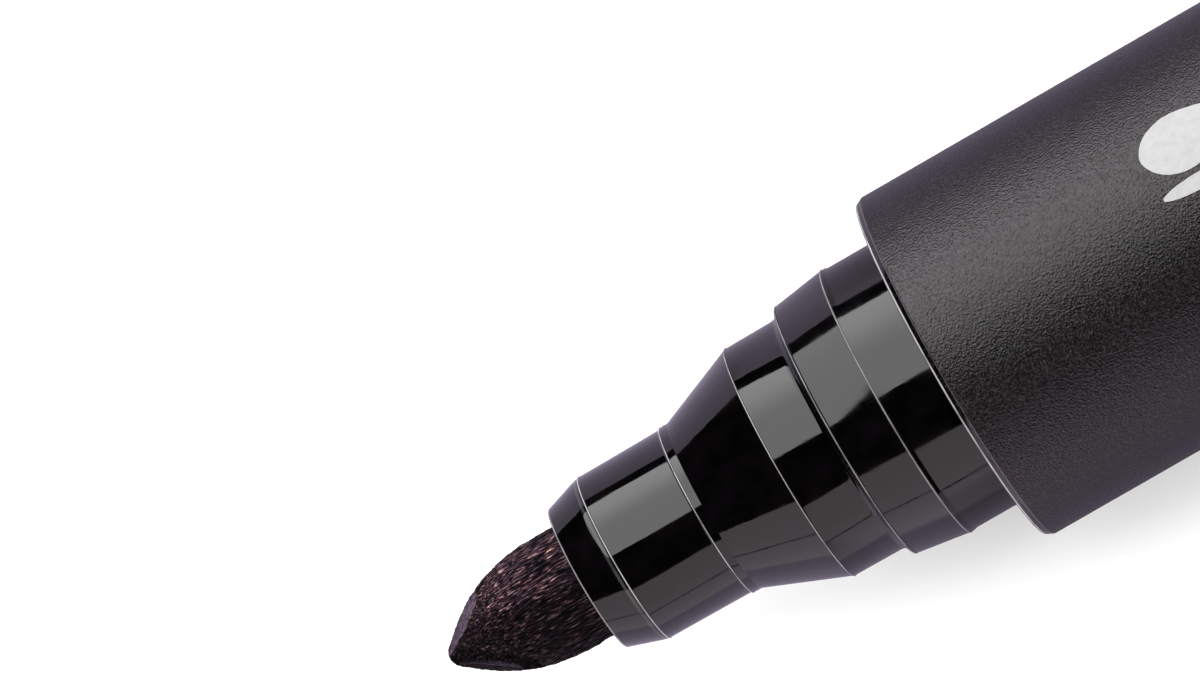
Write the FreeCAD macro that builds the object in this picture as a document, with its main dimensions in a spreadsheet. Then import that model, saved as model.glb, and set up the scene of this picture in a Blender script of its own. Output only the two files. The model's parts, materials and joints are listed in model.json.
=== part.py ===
"""Brush pen with a round barrel, a stepped nib holder, a bullet-shaped fibre nib and a cap on its tail.

Every piece is modelled about the pen's axis, along +X, with x = 0 at the barrel's front face
and the nib at negative x. The pieces are then laid down together: rolled until the clip
touches the desk, and lifted so that the barrel rests on z = 0.
"""
import FreeCAD, Part
import math
import os
import Sketcher

SIZES = {
    # barrel: a plain tube with six ribs inside that centre the ink reservoir
    "barrel_length": 94.0,
    "barrel_radius": 8.0,
    "barrel_bore": 6.2,
    "bevel_along": 0.31,
    "bevel_deep": 0.16,
    "rib_front": 24.0,
    "rib_length": 52.0,
    "rib_height": 0.8,
    "rib_width": 0.9,
    "rib_root": 0.3,
    # clearances between pieces
    "push_gap": 0.03,
    "slide_gap": 0.05,
    "free_gap": 0.3,
    # how far a cutting shape runs past the piece that it cuts
    "run_past": 1.0,
    # nib: a fibre rod with an ogive point; reach is the distance in front of the barrel
    "nib_reach": 24.0,
    "nib_radius": 2.57,
    "nib_point": 5.4,
    "nib_blunt": 0.3,
    "nib_depth": 14.0,
    "nib_taper": 3.0,
    "nib_tail_radius": 1.9,
    # nib holder: cone, neck, bead, flare, sealing land and shoulder, from front to back
    "lip_reach": 17.45,
    "lip_radius": 3.29,
    "cone_reach": 16.04,
    "cone_radius": 3.75,
    "neck_reach": 15.69,
    "neck_radius": 3.86,
    "bead_reach": 11.75,
    "bead_ramp": 0.1,
    "bead_flat": 0.18,
    "bead_height": 0.09,
    "flare_reach": 11.35,
    "flare_root": 3.9,
    "land_reach": 7.74,
    "land_radius": 5.42,
    "shoulder_reach": 5.5,
    "shoulder_length": 0.37,
    "shoulder_radius": 5.79,
    "joint_reach": 5.0,
    "joint_radius": 5.88,
    "spigot_radius": 4.6,
    "spigot_depth": 3.0,
    "holder_bore": 2.6,
    "holder_bore_length": 6.0,
    "holder_relief": 3.4,
    "relief_taper": 1.0,
    # nib guide: a slotted sleeve behind the holder that keeps the nib central and lets air in
    "guide_reach": 8.0,
    "guide_flange": 1.5,
    "guide_slot": 1.2,
    "guide_slot_deep": 0.35,
    # grip collar: the cap's snap cone outside, the reservoir's seat inside
    "snap_reach": 2.76,
    "snap_land": 0.26,
    "snap_drop": 0.16,
    "snap_radius": 6.25,
    "collar_depth": 20.0,
    "skirt_bore": 5.45,
    "seat_front": 5.0,
    "seat_back": 7.0,
    "seat_bore": 3.9,
    # ink reservoir: a fibre rod in a film, with a small tube that lets air past it
    "ink_front": 8.0,
    "ink_length": 74.0,
    "ink_radius": 5.2,
    "film_thickness": 0.1,
    "vent_radius": 0.6,
    "vent_bore": 0.38,
    "vent_offset": 4.4,
    # tail plug: closes the barrel and repeats the collar's cone for the posted cap
    "plug_depth": 10.0,
    "plug_wall": 1.2,
    "boss_radius": 5.1,
    "boss_length": 2.5,
    # cap: shell, sealing liner, crown and clip, measured back from the cap's mouth
    "cap_length": 36.0,
    "cap_end_wall": 3.0,
    "cap_end_round": 0.9,
    "cap_end_bore": 4.0,
    "crown_radius": 6.0,
    "crown_inset": 1.2,
    "crown_proud": 0.35,
    "crown_stub": 2.6,
    "liner_mouth": 5.7,
    "liner_bore": 5.45,
    "liner_floor": 27.0,
    "liner_wall": 1.0,
    "clip_tip": 3.0,
    "clip_root": 33.2,
    "clip_foot": 4.4,
    "clip_top": 11.0,
    "clip_thickness": 1.6,
    "clip_width": 5.0,
    "clip_round": 0.5,
    "clip_pad": 3.0,
    "tongue_length": 2.2,
    "tongue_width": 2.4,
    "tongue_root": 6.8,
}

doc = FreeCAD.newDocument("brush_pen")
size = doc.addObject("Spreadsheet::Sheet", "size")
for row, (alias, value) in enumerate(SIZES.items(), start=1):
    size.set(f"A{row}", alias.replace("_", " "))
    size.set(f"B{row}", str(value))
    size.setAlias(f"B{row}", alias)
doc.recompute()

bodies = []


def new_body(name):
    """A sub-part: its label names its file."""
    body = doc.addObject("PartDesign::Body", name)
    body.Label = name
    bodies.append(body)
    return body


def new_sketch(body, name, plane):
    """A sketch on one of the body's own origin planes."""
    sketch = body.newObject("Sketcher::SketchObject", name)
    origin_plane = [feature for feature in body.Origin.OriginFeatures if feature.Role == plane][0]
    sketch.AttachmentSupport = [(origin_plane, "")]
    sketch.MapMode = "FlatFace"
    return sketch


def value_of(sketch, formula):
    """A formula of the sheet's cells, worked out in millimetres."""
    result = sketch.evalExpression(formula)
    return getattr(result, "Value", result)


def hold(sketch, kind, element, point, formula):
    """Ties one coordinate of a point to a formula, measured from the sketch's origin."""
    constraint = Sketcher.Constraint(kind, -1, 1, element, point, value_of(sketch, formula))
    index = sketch.addConstraint(constraint)
    sketch.setExpression(f"Constraints[{index}]", formula)


def hold_circle(sketch, across, up, radius):
    """A circle whose centre and radius are formulas."""
    centre = FreeCAD.Vector(value_of(sketch, across), value_of(sketch, up), 0)
    circle = Part.Circle(centre, FreeCAD.Vector(0, 0, 1), value_of(sketch, radius))
    ring = sketch.addGeometry(circle)
    hold(sketch, "DistanceX", ring, 3, across)
    hold(sketch, "DistanceY", ring, 3, up)
    index = sketch.addConstraint(Sketcher.Constraint("Radius", ring, circle.Radius))
    sketch.setExpression(f"Constraints[{index}]", radius)


def outline(sketch, corners):
    """A closed loop of straight sides through corners given as pairs of formulas."""
    places = [FreeCAD.Vector(value_of(sketch, across), value_of(sketch, up), 0) for across, up in corners]
    sides = []
    for start, end in zip(places, places[1:] + places[:1]):
        sides.append(sketch.addGeometry(Part.LineSegment(start, end)))
    for side, following in zip(sides, sides[1:] + sides[:1]):
        sketch.addConstraint(Sketcher.Constraint("Coincident", side, 2, following, 1))
    for side, (across, up) in zip(sides, corners):
        hold(sketch, "DistanceX", side, 1, across)
        hold(sketch, "DistanceY", side, 1, up)


def turn(body, sketch):
    """Revolves a half-section about the pen's axis."""
    turned = body.newObject("PartDesign::Revolution", body.Name + "_turned")
    turned.Profile = sketch
    turned.ReferenceAxis = (sketch, ["H_Axis"])
    turned.Angle = 360
    doc.recompute()
    return turned


def turned_body(name, corners):
    """A sub-part turned from one half-section, its corners as (along, radius) formulas."""
    body = new_body(name)
    sketch = new_sketch(body, name + "_section", "XY_Plane")
    outline(sketch, corners)
    turn(body, sketch)
    return body


def pad(body, sketch, length, symmetric=False):
    """Raises a sketch by a formula's length."""
    raised = body.newObject("PartDesign::Pad", sketch.Name + "_pad")
    raised.Profile = sketch
    raised.setExpression("Length", length)
    raised.SideType = "Symmetric" if symmetric else "One side"
    doc.recompute()
    return raised


def pocket(body, sketch, length, reverse=False, symmetric=False):
    """Cuts a sketch into the body, and stops if nothing was cut away."""
    before = body.Shape.Volume
    cut = body.newObject("PartDesign::Pocket", sketch.Name + "_cut")
    cut.Profile = sketch
    cut.setExpression("Length", length)
    cut.Reversed = reverse
    cut.SideType = "Symmetric" if symmetric else "One side"
    doc.recompute()
    if body.Shape.Volume >= before - 0.01:
        raise RuntimeError(f"{sketch.Name} cut nothing")
    return cut


def repeat_round(body, feature, count):
    """Copies a feature evenly about the pen's axis."""
    pattern = body.newObject("PartDesign::PolarPattern", feature.Name + "_round")
    pattern.Originals = [feature]
    axis = [line for line in body.Origin.OriginFeatures if line.Role == "X_Axis"][0]
    pattern.Axis = (axis, [""])
    pattern.Angle = 360
    pattern.Occurrences = count
    body.Tip = pattern
    doc.recompute()


def rim_edges(shape, along, radius):
    """The circular edges at one place along the axis with one radius."""
    names = []
    for number, edge in enumerate(shape.Edges, start=1):
        if not isinstance(edge.Curve, Part.Circle):
            continue
        near_place = abs(edge.Curve.Center.x - along) < 0.001
        if near_place and abs(edge.Curve.Radius - radius) < 0.001:
            names.append(f"Edge{number}")
    return names


def round_edges(body, names, amount):
    """Rounds the named edges of the body's last feature by a formula's radius."""
    last_feature = body.Tip
    rounding = body.newObject("PartDesign::Fillet", body.Name + "_rounded")
    rounding.Base = (last_feature, names)
    rounding.setExpression("Radius", amount)
    doc.recompute()


def round_rim(body, along, radius, amount):
    """Rounds one turned edge; all three are formulas."""
    names = rim_edges(body.Shape, value_of(size, along), value_of(size, radius))
    round_edges(body, names, amount)


def make_barrel():
    """The outer tube, bevelled at both ends, and the six reservoir ribs in its bore."""
    body = turned_body("barrel", [
        ("0", "size.barrel_bore"),
        ("0", "size.barrel_radius - size.bevel_deep"),
        ("size.bevel_along", "size.barrel_radius"),
        ("size.barrel_length - size.bevel_along", "size.barrel_radius"),
        ("size.barrel_length", "size.barrel_radius - size.bevel_deep"),
        ("size.barrel_length", "size.barrel_bore"),
    ])
    section = new_sketch(body, "barrel_rib", "XY_Plane")
    outline(section, [
        ("size.rib_front", "size.barrel_bore - size.rib_height"),
        ("size.rib_front + size.rib_length", "size.barrel_bore - size.rib_height"),
        ("size.rib_front + size.rib_length", "size.barrel_bore + size.rib_root"),
        ("size.rib_front", "size.barrel_bore + size.rib_root"),
    ])
    repeat_round(body, pad(body, section, "size.rib_width", symmetric=True), 6)


def make_nib_holder():
    """The glossy front section that carries the nib, with a spigot that plugs into the collar."""
    turned_body("nib_holder", [
        ("-size.lip_reach", "size.holder_bore"),
        ("-size.lip_reach", "size.lip_radius"),
        ("-size.cone_reach", "size.cone_radius"),
        ("-size.neck_reach", "size.neck_radius"),
        ("-size.bead_reach", "size.neck_radius"),
        ("-size.bead_reach + size.bead_ramp", "size.neck_radius + size.bead_height"),
        ("-size.bead_reach + size.bead_ramp + size.bead_flat", "size.neck_radius + size.bead_height"),
        ("-size.flare_reach", "size.flare_root"),
        ("-size.land_reach", "size.land_radius"),
        ("-size.shoulder_reach", "size.land_radius"),
        ("-size.shoulder_reach + size.shoulder_length", "size.shoulder_radius"),
        ("-size.joint_reach", "size.joint_radius"),
        ("-size.joint_reach", "size.spigot_radius"),
        ("size.spigot_depth", "size.spigot_radius"),
        ("size.spigot_depth", "size.holder_relief"),
        ("-size.lip_reach + size.holder_bore_length + size.relief_taper", "size.holder_relief"),
        ("-size.lip_reach + size.holder_bore_length", "size.holder_bore"),
    ])


def make_nib_guide():
    """A flanged sleeve round the nib, slotted in four places for air."""
    body = turned_body("nib_guide", [
        ("-size.guide_reach", "size.holder_bore"),
        ("-size.guide_reach", "size.holder_relief - size.push_gap"),
        ("size.spigot_depth", "size.holder_relief - size.push_gap"),
        ("size.spigot_depth", "size.spigot_radius"),
        ("size.spigot_depth + size.guide_flange", "size.spigot_radius"),
        ("size.spigot_depth + size.guide_flange", "size.holder_bore"),
    ])
    section = new_sketch(body, "guide_slot", "XY_Plane")
    slot_front = "-size.guide_reach - size.run_past"
    slot_back = "size.spigot_depth + size.guide_flange + size.run_past"
    slot_floor = "size.holder_relief - size.push_gap - size.guide_slot_deep"
    outline(section, [
        (slot_front, slot_floor),
        (slot_back, slot_floor),
        (slot_back, "size.spigot_radius + size.run_past"),
        (slot_front, "size.spigot_radius + size.run_past"),
    ])
    repeat_round(body, pocket(body, section, "size.guide_slot", symmetric=True), 4)


def make_brush_nib():
    """The fibre nib: an ogive point tangent to a round rod that narrows where it meets the ink."""
    body = new_body("brush_nib")
    section = new_sketch(body, "nib_section", "XY_Plane")
    point = SIZES["nib_point"]
    rise = SIZES["nib_radius"] - SIZES["nib_blunt"]
    arc_radius = (rise * rise + point * point) / (2 * rise)
    centre_along = point - SIZES["nib_reach"]
    centre = FreeCAD.Vector(centre_along, SIZES["nib_radius"] - arc_radius, 0)
    tip_angle = math.atan2(arc_radius - rise, -point)
    circle = Part.Circle(centre, FreeCAD.Vector(0, 0, 1), arc_radius)
    ogive = section.addGeometry(Part.ArcOfCircle(circle, math.pi / 2, tip_angle))
    corners = [
        ("size.nib_point - size.nib_reach", "size.nib_radius"),
        ("size.nib_depth - size.nib_taper", "size.nib_radius"),
        ("size.nib_depth", "size.nib_tail_radius"),
        ("size.nib_depth", "0"),
        ("-size.nib_reach", "0"),
        ("-size.nib_reach", "size.nib_blunt"),
    ]
    places = []
    for along, radius in corners:
        places.append(FreeCAD.Vector(value_of(section, along), value_of(section, radius), 0))
    sides = []
    for start, end in zip(places, places[1:]):
        sides.append(section.addGeometry(Part.LineSegment(start, end)))
    section.addConstraint(Sketcher.Constraint("Coincident", ogive, 1, sides[0], 1))
    for side, following in zip(sides, sides[1:]):
        section.addConstraint(Sketcher.Constraint("Coincident", side, 2, following, 1))
    section.addConstraint(Sketcher.Constraint("Coincident", sides[-1], 2, ogive, 2))
    for side, (along, radius) in zip(sides, corners):
        hold(section, "DistanceX", side, 1, along)
        hold(section, "DistanceY", side, 1, radius)
    hold(section, "DistanceX", ogive, 2, corners[-1][0])
    hold(section, "DistanceY", ogive, 2, corners[-1][1])
    hold(section, "DistanceX", ogive, 3, corners[0][0])
    turn(body, section)


def make_grip_collar():
    """The rear of the front section: snap cone outside, plug in the barrel, reservoir seat inside."""
    turned_body("grip_collar", [
        ("-size.joint_reach", "size.spigot_radius + size.push_gap"),
        ("-size.joint_reach", "size.joint_radius"),
        ("-size.snap_reach", "size.snap_radius"),
        ("-size.snap_reach + size.snap_land", "size.snap_radius"),
        ("-size.snap_reach + size.snap_land + size.snap_drop", "size.barrel_bore - size.push_gap"),
        ("size.collar_depth", "size.barrel_bore - size.push_gap"),
        ("size.collar_depth", "size.skirt_bore"),
        ("size.seat_back", "size.skirt_bore"),
        ("size.seat_back", "size.seat_bore"),
        ("size.seat_front", "size.seat_bore"),
        ("size.seat_front", "size.spigot_radius + size.push_gap"),
    ])


def make_ink_reservoir():
    """The fibre rod that holds the ink, pierced at the front for the nib and along one side for air."""
    body = turned_body("ink_reservoir", [
        ("size.ink_front", "size.nib_radius + size.push_gap"),
        ("size.ink_front", "size.ink_radius"),
        ("size.ink_front + size.ink_length", "size.ink_radius"),
        ("size.ink_front + size.ink_length", "0"),
        ("size.nib_depth + size.push_gap", "0"),
        ("size.nib_depth + size.push_gap", "size.nib_tail_radius + size.push_gap"),
        ("size.nib_depth + size.push_gap - size.nib_taper", "size.nib_radius + size.push_gap"),
    ])
    hole = new_sketch(body, "vent_hole", "YZ_Plane")
    hold_circle(hole, "0", "size.vent_offset", "size.vent_radius + size.push_gap")
    pocket(body, hole, "size.ink_front + size.ink_length + size.run_past", reverse=True)


def make_reservoir_wrap():
    """The clear film round the fibre rod."""
    turned_body("reservoir_wrap", [
        ("size.ink_front", "size.ink_radius + size.push_gap"),
        ("size.ink_front", "size.ink_radius + size.push_gap + size.film_thickness"),
        ("size.ink_front + size.ink_length", "size.ink_radius + size.push_gap + size.film_thickness"),
        ("size.ink_front + size.ink_length", "size.ink_radius + size.push_gap"),
    ])


def make_breather_tube():
    """The small tube through the fibre rod that lets air reach the tail of the barrel."""
    body = new_body("breather_tube")
    ring = new_sketch(body, "breather_ring", "YZ_Plane")
    hold_circle(ring, "0", "size.vent_offset", "size.vent_radius")
    hold_circle(ring, "0", "size.vent_offset", "size.vent_bore")
    pad(body, ring, "size.ink_length")


def make_tail_plug():
    """The hollow plug that closes the barrel, with the same snap cone as the collar behind it."""
    wall = "size.barrel_bore - size.push_gap - size.plug_wall"
    turned_body("tail_plug", [
        ("size.barrel_length - size.plug_depth", wall),
        ("size.barrel_length - size.plug_depth", "size.barrel_bore - size.push_gap"),
        ("size.barrel_length + size.snap_reach - size.snap_land - size.snap_drop",
         "size.barrel_bore - size.push_gap"),
        ("size.barrel_length + size.snap_reach - size.snap_land", "size.snap_radius"),
        ("size.barrel_length + size.snap_reach", "size.snap_radius"),
        ("size.barrel_length + size.joint_reach", "size.joint_radius"),
        ("size.barrel_length + size.joint_reach", "size.boss_radius"),
        ("size.barrel_length + size.joint_reach + size.boss_length", "size.boss_radius"),
        ("size.barrel_length + size.joint_reach + size.boss_length", "0"),
        ("size.barrel_length + size.joint_reach + size.boss_length - size.plug_wall", "0"),
        ("size.barrel_length + size.joint_reach + size.boss_length - size.plug_wall",
         "size.boss_radius - size.plug_wall"),
        ("size.barrel_length + size.joint_reach - size.plug_wall",
         "size.boss_radius - size.plug_wall"),
        ("size.barrel_length", wall),
    ])


def make_cap_shell():
    """The cap's outer shell, with a bore for the liner, a recess for the crown and the clip's slot."""
    end = "size.barrel_length + size.cap_length"
    body = turned_body("cap_shell", [
        ("size.barrel_length", "size.snap_radius + size.slide_gap"),
        ("size.barrel_length", "size.barrel_radius - size.bevel_deep"),
        ("size.barrel_length + size.bevel_along", "size.barrel_radius"),
        (end, "size.barrel_radius"),
        (end, "size.crown_radius"),
        (end + " - size.crown_inset", "size.crown_radius"),
        (end + " - size.crown_inset", "size.cap_end_bore"),
        (end + " - size.cap_end_wall", "size.cap_end_bore"),
        (end + " - size.cap_end_wall", "size.snap_radius + size.slide_gap"),
    ])
    round_rim(body, end, "size.barrel_radius", "size.cap_end_round")
    slot = new_sketch(body, "clip_slot", "XZ_Plane")
    slot_back = "size.barrel_length + size.clip_root - size.clip_foot / 2 + size.tongue_length / 2"
    outline(slot, [
        (slot_back + " + size.free_gap", "size.cap_end_bore + size.free_gap"),
        (slot_back + " + size.free_gap", "size.barrel_radius + size.run_past"),
        (slot_back + " - size.tongue_length - size.free_gap", "size.barrel_radius + size.run_past"),
        (slot_back + " - size.tongue_length - size.free_gap", "size.cap_end_bore + size.free_gap"),
    ])
    pocket(body, slot, "size.tongue_width + 2 * size.free_gap", symmetric=True)


def make_cap_liner():
    """The soft cup inside the cap that seals on the holder's land and keeps the nib wet."""
    end = "size.barrel_length + size.cap_length - size.cap_end_wall - size.push_gap"
    floor = "size.barrel_length + size.liner_floor"
    turned_body("cap_liner", [
        ("size.barrel_length + size.liner_mouth", "size.liner_bore"),
        ("size.barrel_length + size.liner_mouth", "size.snap_radius"),
        (end, "size.snap_radius"),
        (end, "size.liner_bore"),
        (floor + " + size.liner_wall", "size.liner_bore"),
        (floor + " + size.liner_wall", "0"),
        (floor, "0"),
        (floor, "size.liner_bore"),
    ])


def make_cap_crown():
    """The disc that closes the end of the cap, with a stub that presses into the shell."""
    end = "size.barrel_length + size.cap_length"
    body = turned_body("cap_crown", [
        (end + " - size.crown_inset - size.crown_stub", "0"),
        (end + " - size.crown_inset - size.crown_stub", "size.cap_end_bore - size.push_gap"),
        (end + " - size.crown_inset", "size.cap_end_bore - size.push_gap"),
        (end + " - size.crown_inset", "size.crown_radius - size.push_gap"),
        (end + " + size.crown_proud", "size.crown_radius - size.push_gap"),
        (end + " + size.crown_proud", "0"),
    ])
    rim = "size.crown_radius - size.push_gap"
    round_rim(body, end + " + size.crown_proud", rim, "size.crown_proud - size.push_gap")


def make_clip():
    """The spring clip: a long arm with a pad at its tip and a tongue through the shell's slot."""
    body = new_body("clip")
    under = "size.clip_top - size.clip_thickness"
    near = "size.barrel_radius + size.free_gap"
    tip = "size.barrel_length + size.clip_tip"
    root = "size.barrel_length + size.clip_root"
    arm = new_sketch(body, "clip_arm", "XZ_Plane")
    outline(arm, [
        (root, near),
        (root, "size.clip_top - size.clip_thickness / 2"),
        (root + " - size.clip_thickness / 2", "size.clip_top"),
        (tip + " + size.clip_thickness / 2", "size.clip_top"),
        (tip, "size.clip_top - size.clip_thickness / 2"),
        (tip, under),
        (tip + " + size.clip_pad / 3", near),
        (tip + " + size.clip_pad", near),
        (tip + " + 2 * size.clip_pad", under),
        (root + " - size.clip_foot - size.clip_thickness", under),
        (root + " - size.clip_foot", near),
    ])
    pad(body, arm, "size.clip_width", symmetric=True)
    tongue = new_sketch(body, "clip_tongue", "XZ_Plane")
    back = root + " - size.clip_foot / 2 + size.tongue_length / 2"
    outline(tongue, [
        (back, "size.tongue_root"),
        (back, near + " + size.clip_thickness"),
        (back + " - size.tongue_length", near + " + size.clip_thickness"),
        (back + " - size.tongue_length", "size.tongue_root"),
    ])
    pad(body, tongue, "size.tongue_width", symmetric=True)
    top_edges = []
    for number, edge in enumerate(body.Shape.Edges, start=1):
        ends = [vertex.Point for vertex in edge.Vertexes]
        on_top = all(abs(point.z - SIZES["clip_top"]) < 0.001 for point in ends)
        if on_top and abs(ends[0].y - ends[1].y) < 0.001:
            top_edges.append(f"Edge{number}")
    round_edges(body, top_edges, "size.clip_round")


def resting_roll():
    """The turn from straight up that brings the clip's rounded corner onto the desk, in degrees."""
    corner_up = SIZES["clip_top"] - SIZES["clip_round"]
    corner_out = SIZES["clip_width"] / 2 - SIZES["clip_round"]
    reach = math.hypot(corner_up, corner_out)
    to_corner = math.atan2(corner_out, corner_up)
    desk_angle = math.acos((SIZES["barrel_radius"] - SIZES["clip_round"]) / reach)
    return 180 - math.degrees(desk_angle + to_corner)


def side_reach(roll):
    """How far the rolled clip reaches out sideways from the pen's axis."""
    top_edge = FreeCAD.Vector(0, SIZES["clip_width"] / 2, SIZES["clip_top"] - SIZES["clip_round"])
    rounded = FreeCAD.Vector(0, SIZES["clip_width"] / 2 - SIZES["clip_round"], top_edge.z)
    return max(-roll.multVec(top_edge).y, SIZES["clip_round"] - roll.multVec(rounded).y)


def lay_down():
    """Places every sub-part on the desk, with the middle of the whole pen's box at the origin."""
    roll = FreeCAD.Rotation(FreeCAD.Vector(1, 0, 0), resting_roll())
    front = -SIZES["nib_reach"]
    back = SIZES["barrel_length"] + SIZES["cap_length"] + SIZES["crown_proud"]
    aside = (side_reach(roll) - SIZES["barrel_radius"]) / 2
    for body in bodies:
        start = SIZES["ink_front"] if body.Label == "breather_tube" else 0
        axis_place = FreeCAD.Vector(start - (front + back) / 2, aside, SIZES["barrel_radius"])
        body.Placement = FreeCAD.Placement(axis_place, roll)
    doc.recompute()


def check_document():
    """Stops if any feature failed or any sub-part is empty or broken."""
    for thing in doc.Objects:
        if "Invalid" in thing.State or "Error" in thing.State:
            raise RuntimeError(f"{thing.Name} failed: {thing.State}")
    for body in bodies:
        if body.Shape.isNull() or not body.Shape.isValid() or len(body.Shape.Solids) != 1:
            raise RuntimeError(f"{body.Label} isn't one good solid")


def write_parts():
    """Writes each sub-part to its own file and prints its size."""
    os.makedirs("parts", exist_ok=True)
    for body in bodies:
        body.Shape.exportStep(f"parts/{body.Label}.step")
        box = body.Shape.BoundBox
        print(f"{body.Label:15} {body.Shape.Volume:9.1f} mm3  x {box.XMin:7.2f} {box.XMax:7.2f}"
              f"  y {box.YMin:6.2f} {box.YMax:6.2f}  z {box.ZMin:6.2f} {box.ZMax:6.2f}")


make_barrel()
make_grip_collar()
make_nib_holder()
make_nib_guide()
make_brush_nib()
make_ink_reservoir()
make_reservoir_wrap()
make_breather_tube()
make_tail_plug()
make_cap_shell()
make_cap_liner()
make_cap_crown()
make_clip()
lay_down()
check_document()
write_parts()
print(f"roll {resting_roll():.3f} degrees")
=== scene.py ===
"""Looks of the brush pen: turned and bevelled mouldings, the fibre nib, and the desk and lights."""
import json
import math

import bpy
from mathutils import Matrix, Vector


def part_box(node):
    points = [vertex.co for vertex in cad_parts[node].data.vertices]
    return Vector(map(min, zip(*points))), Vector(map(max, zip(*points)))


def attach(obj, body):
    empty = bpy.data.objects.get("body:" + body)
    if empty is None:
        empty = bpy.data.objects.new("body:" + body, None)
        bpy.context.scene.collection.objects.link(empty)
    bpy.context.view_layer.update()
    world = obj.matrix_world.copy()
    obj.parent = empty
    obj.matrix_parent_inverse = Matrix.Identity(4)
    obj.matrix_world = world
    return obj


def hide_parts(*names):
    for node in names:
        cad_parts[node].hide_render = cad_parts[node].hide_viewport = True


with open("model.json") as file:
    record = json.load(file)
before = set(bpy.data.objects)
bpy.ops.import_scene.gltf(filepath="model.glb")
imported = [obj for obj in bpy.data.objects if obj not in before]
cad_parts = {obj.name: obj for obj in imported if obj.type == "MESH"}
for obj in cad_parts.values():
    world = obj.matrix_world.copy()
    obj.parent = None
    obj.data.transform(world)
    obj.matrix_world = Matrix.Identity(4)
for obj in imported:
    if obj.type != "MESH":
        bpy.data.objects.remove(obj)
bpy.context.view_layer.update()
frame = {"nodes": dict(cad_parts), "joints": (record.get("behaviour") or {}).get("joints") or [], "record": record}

# --- Brush nib ----------------------------------------------------------------------------------
# A rod of pressed fibre, 5.14 mm through, ground to a bullet point and soaked in dark ink. Two
# flats are ground on the point where it strokes the paper, and loose fibre ends roughen the rest.
MM = 0.001

# the pen's axis runs along +X, nib first; places are in millimetres behind the barrel's front face
grip = [mount for mount in frame["record"]["mounts"] if mount["name"] == "barrel_grip"][0]
axis_place = Vector((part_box("barrel")[0][0], grip["pos_m"][1], grip["pos_m"][2]))

NIB_REACH = 24.12
NIB_RADIUS = 2.57
NIB_POINT = 5.6
NIB_BLUNT = 0.3
NIB_DEPTH = 14.0
NIB_TAIL = 1.9
NIB_TAPER = 3.0
TIP_ROUND = [(0.01, 0.13), (0.04, 0.24), (0.08, 0.33)]
POINT_START = 0.12
POINT_STEPS = 90
POINT_CROWDING = 1.25
POINT_FULLNESS = 0.05
ROD_STEPS = 27
ROD_PITCH = 0.06
NEAR_AXIS = 0.02


def start_clean():
    """Leaves edit mode and selects nothing."""
    if bpy.context.object and bpy.context.object.mode == "EDIT":
        bpy.ops.object.mode_set(mode="OBJECT")
    bpy.ops.object.select_all(action="DESELECT")


def take_up(piece):
    """Selects one piece only and makes it the active one."""
    start_clean()
    bpy.context.view_layer.objects.active = piece
    piece.select_set(True)


def along_pen(along, across=0.0, up=0.0):
    """A place in metres from millimetres behind the barrel's face and off the pen's axis."""
    return axis_place + Vector((along, across, up)) * MM


def turned_piece(name, stations, sides=176):
    """Turns a closed half-section on the pen's axis: a ring is extruded from station to station."""
    start_clean()
    first_along, first_radius = stations[0]
    bpy.ops.mesh.primitive_circle_add(vertices=sides, radius=first_radius * MM, fill_type="NOTHING",
                                      location=along_pen(first_along), rotation=(0, math.pi / 2, 0))
    piece = bpy.context.object
    piece.name = name
    piece.data.name = name
    bpy.ops.object.transform_apply(location=True, rotation=True, scale=True)
    bpy.ops.object.mode_set(mode="EDIT")
    bpy.ops.mesh.select_mode(type="EDGE")
    bpy.ops.mesh.select_all(action="SELECT")
    for (along, radius), (next_along, next_radius) in zip(stations, stations[1:] + stations[:1]):
        step = ((next_along - along) * MM, 0, 0)
        grow = next_radius / radius
        bpy.ops.mesh.extrude_region_move(TRANSFORM_OT_translate={"value": step})
        bpy.ops.transform.resize(value=(1, grow, grow), center_override=along_pen(next_along))
    bpy.ops.mesh.select_all(action="SELECT")
    bpy.ops.mesh.remove_doubles(threshold=0.002 * MM)
    bpy.ops.mesh.normals_make_consistent(inside=False)
    bpy.ops.object.mode_set(mode="OBJECT")
    return piece


nib_rise = NIB_RADIUS - NIB_BLUNT
nib_arc = (nib_rise ** 2 + NIB_POINT ** 2) / (2 * nib_rise)


def point_radius(back):
    """The point's radius at a distance behind its tip."""
    return math.sqrt(nib_arc ** 2 - (NIB_POINT - back) ** 2) + NIB_RADIUS - nib_arc


nib_stations = [(-NIB_REACH, NEAR_AXIS), *((-NIB_REACH + back, radius) for back, radius in TIP_ROUND)]
for step in range(1, POINT_STEPS + 1):
    back = POINT_START + (NIB_POINT - POINT_START) * (step / POINT_STEPS) ** POINT_CROWDING
    fuller = POINT_FULLNESS * math.sin(math.pi * back / NIB_POINT) ** 2
    nib_stations.append((-NIB_REACH + back, point_radius(back) + fuller))
for step in range(1, ROD_STEPS + 1):
    nib_stations.append((-NIB_REACH + NIB_POINT + step * ROD_PITCH, NIB_RADIUS))
nib_stations += [(NIB_DEPTH - NIB_TAPER, NIB_RADIUS), (NIB_DEPTH, NIB_TAIL), (NIB_DEPTH, NEAR_AXIS)]
nib = turned_piece("nib_fibre_rod", nib_stations, sides=480)


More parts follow.
